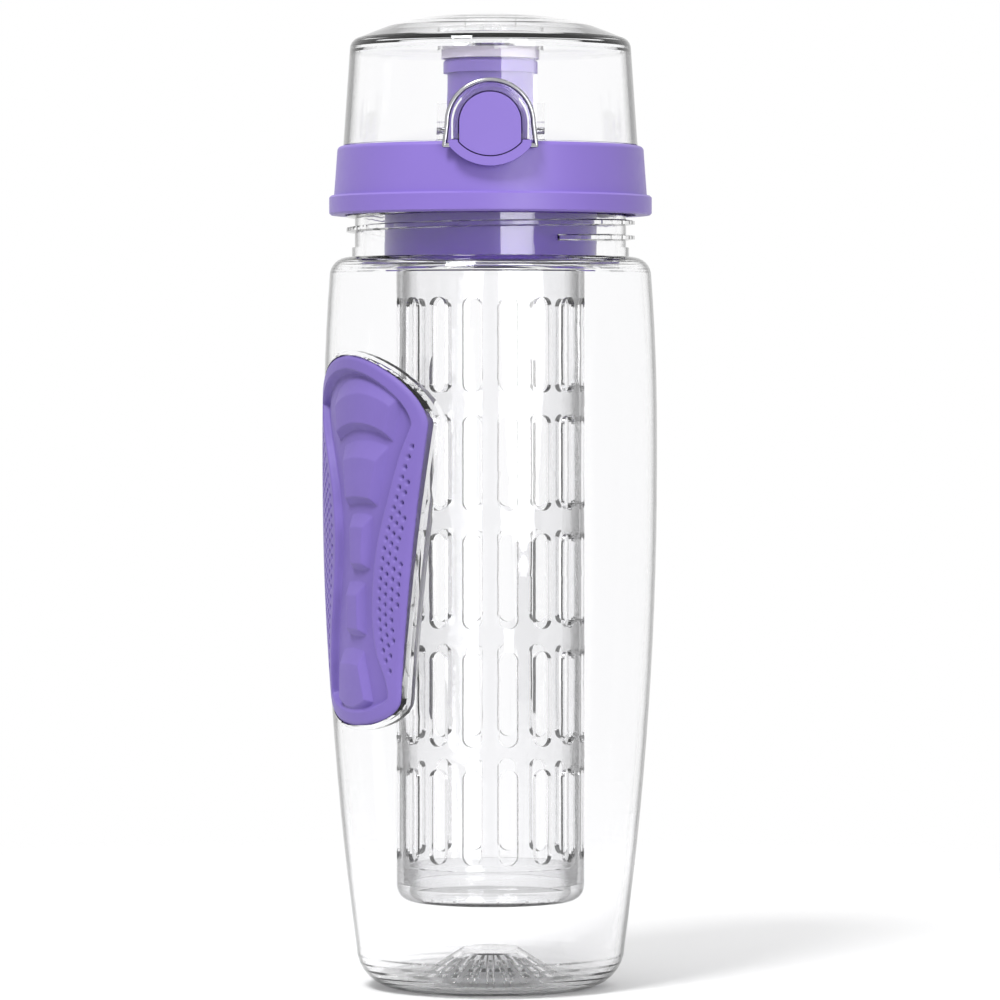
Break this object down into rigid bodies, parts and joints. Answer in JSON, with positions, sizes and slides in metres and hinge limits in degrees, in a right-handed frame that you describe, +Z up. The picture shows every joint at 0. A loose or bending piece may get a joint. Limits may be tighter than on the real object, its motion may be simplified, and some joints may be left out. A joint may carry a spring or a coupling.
{
  "type": "infuser water bottle",
  "caption": "Clear screw-top water bottle with a rubber grip, a flip-up dome latched over the spout, and a slotted fruit basket hung from the lid.",
  "frame": {"origin": "centre of the ring that the bottle stands on", "axes": "+Z up along the bottle's axis, -Y towards the front with the button, +X to the right seen from the front"},
  "size_m": [0.0904, 0.09, 0.2621],
  "materials": {
    "clear_tritan": "clear moulded copolyester, polished",
    "clear_lid": "clear moulded copolyester, polished",
    "lavender_plastic": "fine satin moulded polypropylene",
    "grip_rubber": "soft matte thermoplastic rubber",
    "silicone": "milky silicone",
    "steel_wire": "bright stainless wire"
  },
  "bodies": {
    "bottle": {"bottle_body": "clear_tritan", "grip_pad": "grip_rubber"},
    "lid_seal": {"lid_gasket": "silicone"},
    "lid": {"lid_collar": "lavender_plastic", "lid_spigot": "lavender_plastic", "latch_housing": "lavender_plastic", "drink_spout": "lavender_plastic", "spout_gasket": "silicone", "hinge_pin": "steel_wire", "hinge_spring": "steel_wire", "button_spring": "steel_wire"},
    "dome": {"dome_cover": "clear_lid", "seal_retainer": "clear_lid", "spout_seal": "silicone"},
    "button": {"latch_button": "lavender_plastic"},
    "bail": {"lock_bail": "steel_wire"},
    "infuser_seal": {"infuser_gasket": "silicone"},
    "infuser": {"infuser_head": "lavender_plastic", "basket_tube": "clear_tritan", "basket_base": "clear_tritan"}
  },
  "joints": [
    {"name": "lid_rise", "type": "slide", "parent": "bottle", "child": "lid_seal", "axis": [0, 0, 1], "range_m": [0, 0.006]},
    {"name": "lid_turn", "type": "hinge", "parent": "lid_seal", "child": "lid", "pos_m": [0, 0, 0.2083], "axis": [0, 0, 1], "range_deg": [0, 540]},
    {"name": "dome_flip", "type": "hinge", "parent": "lid", "child": "dome", "pos_m": [0, 0.0407, 0.233], "axis": [-1, 0, 0], "range_deg": [0, 110], "deforming": ["hinge_spring"]},
    {"name": "button_press", "type": "slide", "parent": "lid", "child": "button", "axis": [0, 1, 0], "range_m": [0, 0.0018], "stiffness_N_per_m": 400, "springref_m": -0.002, "deforming": ["button_spring"]},
    {"name": "bail_swing", "type": "hinge", "parent": "lid", "child": "bail", "pos_m": [0, -0.0421, 0.2255], "axis": [1, 0, 0], "range_deg": [0, 165]},
    {"name": "infuser_drop", "type": "slide", "parent": "lid", "child": "infuser_seal", "axis": [0, 0, -1], "range_m": [0, 0.0045]},
    {"name": "infuser_turn", "type": "hinge", "parent": "infuser_seal", "child": "infuser", "pos_m": [0, 0, 0.2116], "axis": [0, 0, -1], "range_deg": [0, 450]}
  ],
  "couplings": [
    {"joint": "lid_rise", "follows": "lid_turn", "m_per_rad": 0.00063662},
    {"joint": "infuser_drop", "follows": "infuser_turn", "m_per_rad": 0.00057296}
  ]
}
